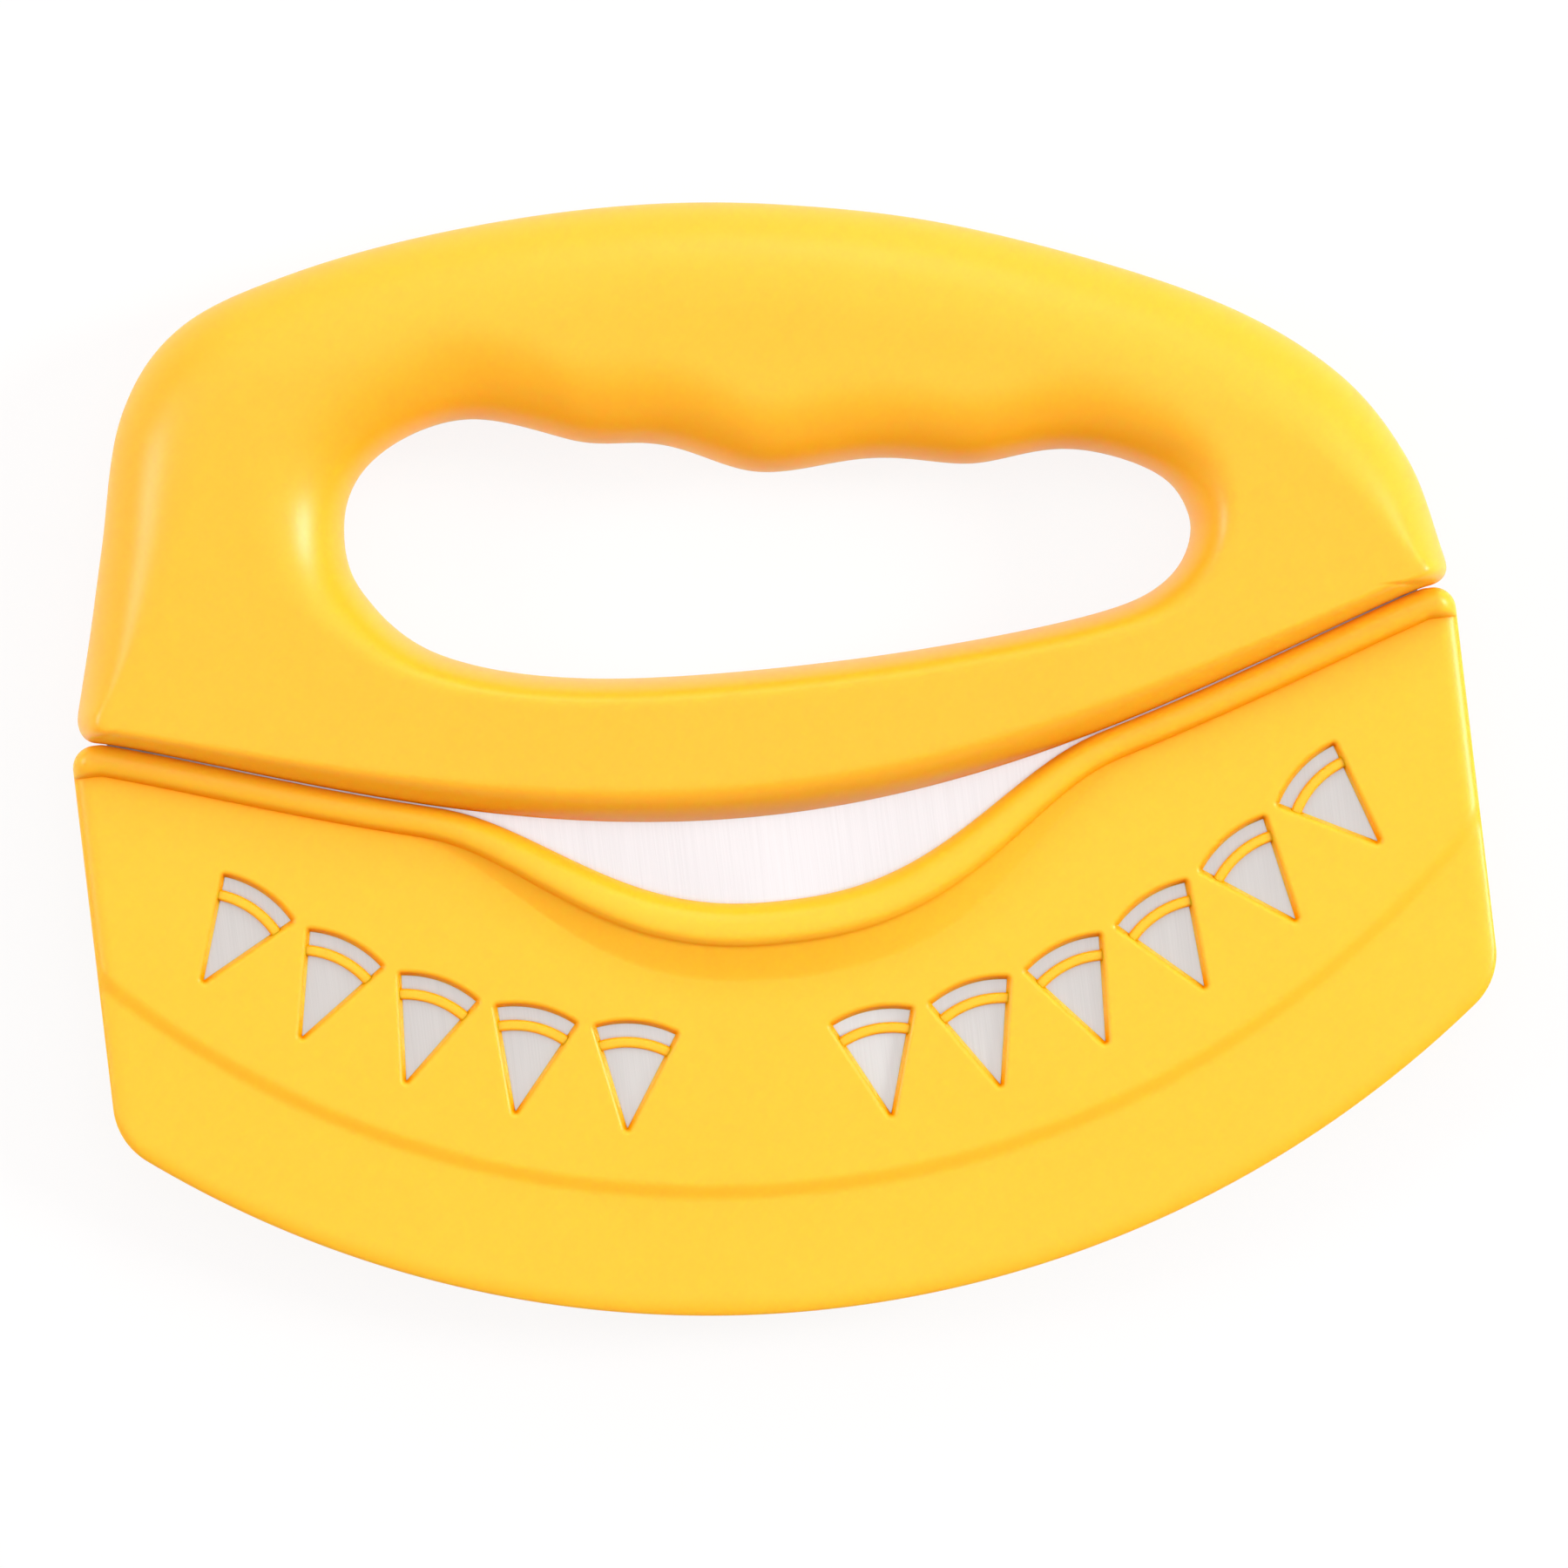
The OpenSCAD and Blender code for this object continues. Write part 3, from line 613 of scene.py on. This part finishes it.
def plastic(name, colour, tint, painted_shade, depth, own_shade=False):
    """Satin moulded plastic with painted shade: its hollows are painted more orange and less specular.
    With own_shade its hollows count only the piece's own shape.
    """
    material, tree, shader = node_material(name)
    link = tree.links.new
    coords = add_node(tree, "TexCoord").outputs["Object"]
    cloud = add_node(tree, "TexNoise", {"Scale": CLOUD_SCALE, "Detail": 3})
    link(coords, cloud.inputs["Vector"])
    cloudy = add_ramp(tree, cloud.outputs["Fac"], (0.35, tint), (0.65, colour))
    # painted shade: seams and corners, found by ambient occlusion, are painted a more orange colour,
    # standing in for the shade that falls in them
    cavity = add_node(tree, "AmbientOcclusion", {"Distance": HOLLOW_REACH},
                      samples=6, only_local=own_shade)
    openness = add_node(tree, "MapRange", {"From Min": HOLLOW_OWN if own_shade else HOLLOW_ALL,
                                           "From Max": HOLLOW_NONE})
    link(cavity.outputs["AO"], openness.inputs["Value"])
    painted_shade_mix = add_node(tree, "Mix", {"A": (*painted_shade, 1)}, data_type="RGBA")
    link(openness.outputs["Result"], painted_shade_mix.inputs["Factor"])
    link(cloudy, painted_shade_mix.inputs["B"])
    link(painted_shade_mix.outputs["Result"], shader.inputs["Base Color"])
    # painted shade in the reflections as well: the specular level falls in the hollows
    gloss = add_node(tree, "Math", {1: GLOSS}, operation="MULTIPLY")
    link(openness.outputs["Result"], gloss.inputs[0])
    link(gloss.outputs[0], shader.inputs["Specular IOR Level"])
    grain = add_node(tree, "TexNoise", {"Scale": GRAIN_SCALE, "Detail": 2})
    link(coords, grain.inputs["Vector"])
    add_bump(tree, shader, grain.outputs["Fac"], strength=0.04)
    rough = add_node(tree, "MapRange", {"To Min": 0.34, "To Max": 0.42})
    link(grain.outputs["Fac"], rough.inputs["Value"])
    link(rough.outputs["Result"], shader.inputs["Roughness"])
    set_inputs(shader, {"IOR": 1.5, "Subsurface Weight": 0.8,
                        "Subsurface Radius": (1.0, 0.15, 0.03), "Subsurface Scale": depth})
    return material


def steel(name, colour, roughness, painted_band_shade=None):
    """Brushed steel. Given a shade colour, the band further from the centre of the arc, which holds the
    windows, is multiplied by that colour as painted shade, and is rougher.
    """
    material, tree, shader = node_material(name)
    link = tree.links.new
    coords = add_node(tree, "TexCoord").outputs["Object"]
    stretch = add_node(tree, "Mapping", {"Scale": BRUSH_SCALE})
    link(coords, stretch.inputs["Vector"])
    lines = add_node(tree, "TexNoise", {"Scale": 1, "Detail": 4})
    link(stretch.outputs["Vector"], lines.inputs["Vector"])
    finish = add_ramp(tree, lines.outputs["Fac"], (0, [c * BRUSH_DARK for c in colour]), (1, colour))
    set_inputs(shader, {"Metallic": 1.0, "Anisotropic": 0.5, "Roughness": roughness})
    # painted shade: the blade's outer band, seen through the windows, is darkened to stand in for the
    # shade within them; it also gets more roughness
    if painted_band_shade:
        centre = (0, -(ARC_Y + SHIFT[1]) * MM, 0)
        out = add_node(tree, "VectorMath", {1: (1, 1, 0), 2: centre}, operation="MULTIPLY_ADD")
        link(coords, out.inputs[0])
        reach = add_node(tree, "VectorMath", operation="LENGTH")
        link(out.outputs[0], reach.inputs[0])
        outer = add_node(tree, "MapRange", {"From Min": SATIN_AND_SHADE_FROM, "From Max": SATIN_AND_SHADE_TO},
                         interpolation_type="SMOOTHSTEP")
        link(reach.outputs["Value"], outer.inputs["Value"])
        band_shade_mix = add_node(tree, "Mix", {"B": (*painted_band_shade, 1)}, data_type="RGBA", blend_type="MULTIPLY")
        link(outer.outputs["Result"], band_shade_mix.inputs["Factor"])
        link(finish, band_shade_mix.inputs["A"])
        finish = band_shade_mix.outputs["Result"]
        matt = add_node(tree, "MapRange", {"To Min": roughness, "To Max": roughness + SATIN_ROUGHER})
        link(outer.outputs["Result"], matt.inputs["Value"])
        link(matt.outputs["Result"], shader.inputs["Roughness"])
    link(finish, shader.inputs["Base Color"])
    add_bump(tree, shader, lines.outputs["Fac"], strength=0.12)
    return material


def dress(piece, material):
    piece.data.materials.clear()
    piece.data.materials.append(material)


# colour of the painted shade in the plastics' hollows
PAINTED_SHADE_ORANGE = (1.0, 0.34, 0.0)
handle_yellow = plastic("handle_plastic", colour=(1.0, 0.56, 0.024), tint=(1.0, 0.55, 0.022),
                        painted_shade=PAINTED_SHADE_ORANGE, depth=0.002)
guard_yellow = plastic("guard_plastic", colour=(1.0, 0.60, 0.024), tint=(1.0, 0.59, 0.022),
                       painted_shade=PAINTED_SHADE_ORANGE, depth=0.001, own_shade=True)
# the blade's band under the windows is painted darker as shade
blade_steel = steel("blade_steel", colour=(0.94, 0.94, 0.95), roughness=0.28, painted_band_shade=(0.78, 0.80, 0.78))
pin_steel = steel("pin_steel", colour=(0.55, 0.55, 0.56), roughness=0.4)

for name, node, mirror in (("handle_skin_front", "handle_front", False),
                           ("handle_skin_back", "handle_back", True)):
    piece = handle_shell(name, mirror)
    dress(piece, handle_yellow)
    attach(piece, "handle")
    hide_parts(node)
for name, node, front in (("guard_skin_front", "guard_front", True),
                          ("guard_skin_back", "guard_back", False)):
    piece = guard_shell(name, front)
    dress(piece, guard_yellow)
    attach(piece, "guard")
    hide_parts(node)
dress(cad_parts["blade"], blade_steel)
dress(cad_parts["tang_pins"], pin_steel)


# Floor, light and camera

ROLL = math.radians(6.75)
SKY_WAY = (0.12, 0.55, 1.0)
SKY_LOW, SKY_HIGH = (0.46, 0.18, 0.08), (1.2, 1.1, 1.1)
SKY_FROM, SKY_TO = 0.35, 0.9
FLOOR_HALF, FLOOR_Z = 3.0, -0.0002
LAMP_DISTANCE, LAMP_SIZE = 2.4, 0.7
# the photo's width in pixels and the millimetres to a pixel
PHOTO_W, PIXEL = 1800, 0.1125
# the pixel where the part's axis crosses its joint line
AXIS_X, AXIS_Y = 874.4, 763.5
CAMERA_DISTANCE, SENSOR_W, VIEW_END = 1.5, 36, 10


def white_rays(tree, plain, mirrored):
    """Share of plain white that camera and see-through rays get, and the share that mirrored rays get."""
    link = tree.links.new
    path = add_node(tree, "LightPath")
    seen = add_node(tree, "Math", operation="MAXIMUM")
    link(path.outputs["Is Camera Ray"], seen.inputs[0])
    link(path.outputs["Is Transmission Ray"], seen.inputs[1])
    shares = []
    for output, share in ((seen.outputs[0], plain), (path.outputs["Is Glossy Ray"], mirrored)):
        scaled = add_node(tree, "Math", {1: share}, operation="MULTIPLY")
        link(output, scaled.inputs[0])
        shares.append(scaled.outputs[0])
    most = add_node(tree, "Math", operation="MAXIMUM")
    link(shares[0], most.inputs[0])
    link(shares[1], most.inputs[1])
    return most.outputs[0]


def floor_material():
    """Pale floor that keeps the cutter's shadow, white where the camera sees it unshaded."""
    material, tree, shader = node_material("floor")
    link = tree.links.new
    coords = add_node(tree, "TexCoord")
    noise = add_node(tree, "TexNoise", {"Scale": 12})
    link(coords.outputs["Object"], noise.inputs["Vector"])
    pale = add_ramp(tree, noise.outputs["Fac"], (0, (0.84, 0.90, 0.92)), (1, (0.85, 0.91, 0.93)))
    link(pale, shader.inputs["Base Color"])
    set_inputs(shader, {"Roughness": 0.9})
    white = add_node(tree, "Emission", {"Color": (1, 1, 1, 1), "Strength": 1.0})
    mix = add_node(tree, "MixShader")
    link(white_rays(tree, plain=0.88, mirrored=0.85), mix.inputs[0])
    link(shader.outputs[0], mix.inputs[1])
    link(white.outputs[0], mix.inputs[2])
    link(mix.outputs[0], tree.nodes["Material Output"].inputs["Surface"])
    return material


def photo_way(right, up, out):
    """Direction in the row frame of a vector to the photo's right, to its top and towards the camera."""
    x = right * math.cos(ROLL) + up * math.sin(ROLL)
    y = -right * math.sin(ROLL) + up * math.cos(ROLL)
    return Vector((x, y, out)).normalized()


def studio_world():
    """Large soft light overhead, a little to the top right; the camera sees it plain white."""
    world = bpy.data.worlds.new("studio")
    world.use_nodes = True
    tree = world.node_tree
    link = tree.links.new
    coords = add_node(tree, "TexCoord")
    along = add_node(tree, "VectorMath", {1: photo_way(*SKY_WAY)}, operation="DOT_PRODUCT")
    link(coords.outputs["Generated"], along.inputs[0])
    fall = add_node(tree, "MapRange", {"From Min": SKY_FROM, "From Max": SKY_TO},
                    interpolation_type="SMOOTHSTEP")
    link(along.outputs["Value"], fall.inputs["Value"])
    shade = add_node(tree, "Mix", {"A": (*SKY_LOW, 1), "B": (*SKY_HIGH, 1)}, data_type="RGBA")
    link(fall.outputs["Result"], shade.inputs["Factor"])
    soft = tree.nodes["Background"]
    link(shade.outputs["Result"], soft.inputs["Color"])
    white = add_node(tree, "Background", {"Color": (1, 1, 1, 1)})
    for light in (soft, white):
        set_inputs(light, {"Strength": 1.0})
    mix = add_node(tree, "MixShader")
    link(white_rays(tree, plain=1.0, mirrored=0.4), mix.inputs[0])
    link(soft.outputs[0], mix.inputs[1])
    link(white.outputs[0], mix.inputs[2])
    link(mix.outputs[0], tree.nodes["World Output"].inputs["Surface"])
    return world


def lamp(name, way, energy):
    """Round soft lamp in the direction of a photo vector, aimed at the cutter."""
    direction = photo_way(*way)
    light = bpy.data.lights.new(name, "AREA")
    light.shape = "DISK"
    light.size = LAMP_SIZE
    light.energy = energy
    holder = bpy.data.objects.new(name, light)
    scene.collection.objects.link(holder)
    holder.location = direction * LAMP_DISTANCE
    holder.rotation_euler = direction.to_track_quat("Z", "Y").to_euler()


floor_mesh = bpy.data.meshes.new("floor")
corners = [(x * FLOOR_HALF, y * FLOOR_HALF, 0) for x, y in ((-1, -1), (1, -1), (1, 1), (-1, 1))]
floor_mesh.from_pydata(corners, [], [[0, 1, 2, 3]])
floor = bpy.data.objects.new("floor", floor_mesh)
scene.collection.objects.link(floor)
floor.location.z = FLOOR_Z
dress(floor, floor_material())

scene.view_settings.view_transform = "Standard"
scene.world = studio_world()
lamp("right", (1.0, 0.2, 0.6), energy=38.0)
lamp("left", (-1.0, 0.15, 0.6), energy=18.0)
lamp("top", (0.1, 1.0, 0.6), energy=4.0)

camera_data = bpy.data.cameras.new("camera")
camera = bpy.data.objects.new("camera", camera_data)
scene.collection.objects.link(camera)
scene.camera = camera
dx, dy = PHOTO_W / 2 - AXIS_X, AXIS_Y - PHOTO_W / 2
aim = np.array(((dx * math.cos(ROLL) + dy * math.sin(ROLL)) * PIXEL,
                (-dx * math.sin(ROLL) + dy * math.cos(ROLL)) * PIXEL, 0.0)) + SHIFT
camera.location = (aim[0] * MM, aim[1] * MM, (aim[2] + FACE_Z) * MM + CAMERA_DISTANCE)
camera.rotation_euler = (0, 0, -ROLL)
camera_data.sensor_width = SENSOR_W
camera_data.lens = SENSOR_W * CAMERA_DISTANCE / (PHOTO_W * PIXEL * MM)
camera_data.clip_end = VIEW_END
